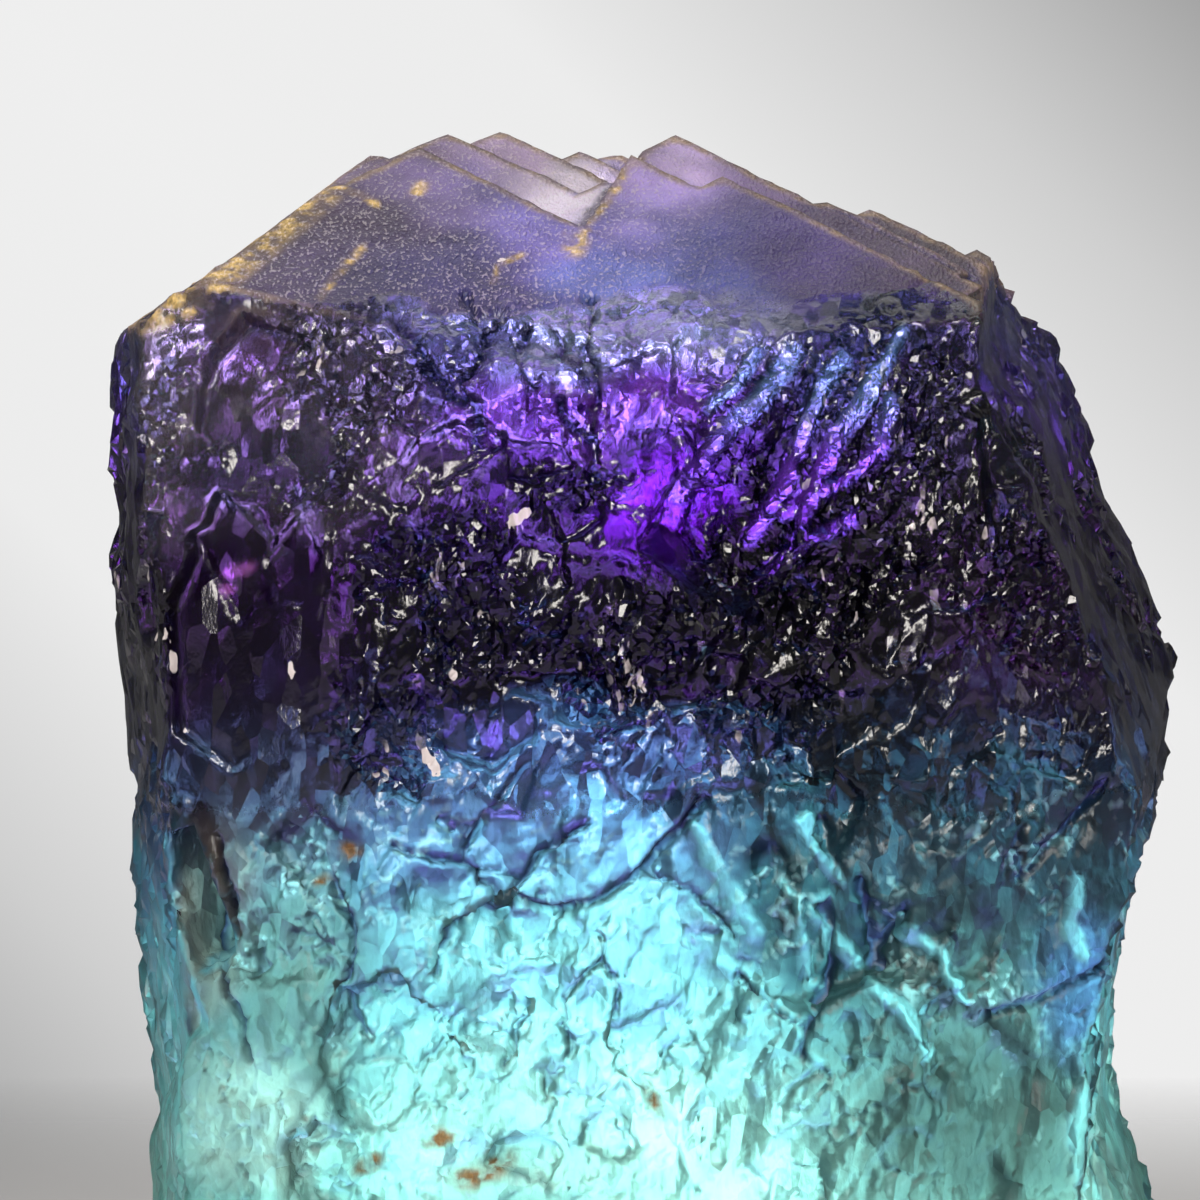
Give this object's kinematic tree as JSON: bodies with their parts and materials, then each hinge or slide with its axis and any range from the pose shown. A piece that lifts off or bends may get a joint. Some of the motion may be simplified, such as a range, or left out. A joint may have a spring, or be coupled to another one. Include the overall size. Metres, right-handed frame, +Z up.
{
  "type": "fluorite octahedron",
  "caption": "Natural fluorite crystal with a stepped octahedral crown over a rough cleaved body, purple at the top and cyan at the foot, standing on a flat cut base.",
  "frame": {"origin": "centre of the bounding box in X and Y, at the flat base in Z", "axes": "+Z up through the crown, +Y away from the rough front face, +X to the right as seen from the front"},
  "size_m": [0.0654, 0.0468, 0.0709],
  "materials": {
    "fluorite": "vitreous and translucent, finely pebbled on the crown faces, hackly where cleaved, zoned from purple through blue to cyan"
  },
  "bodies": {
    "root": {"fluorite_crystal": "fluorite"}
  },
  "joints": []
}
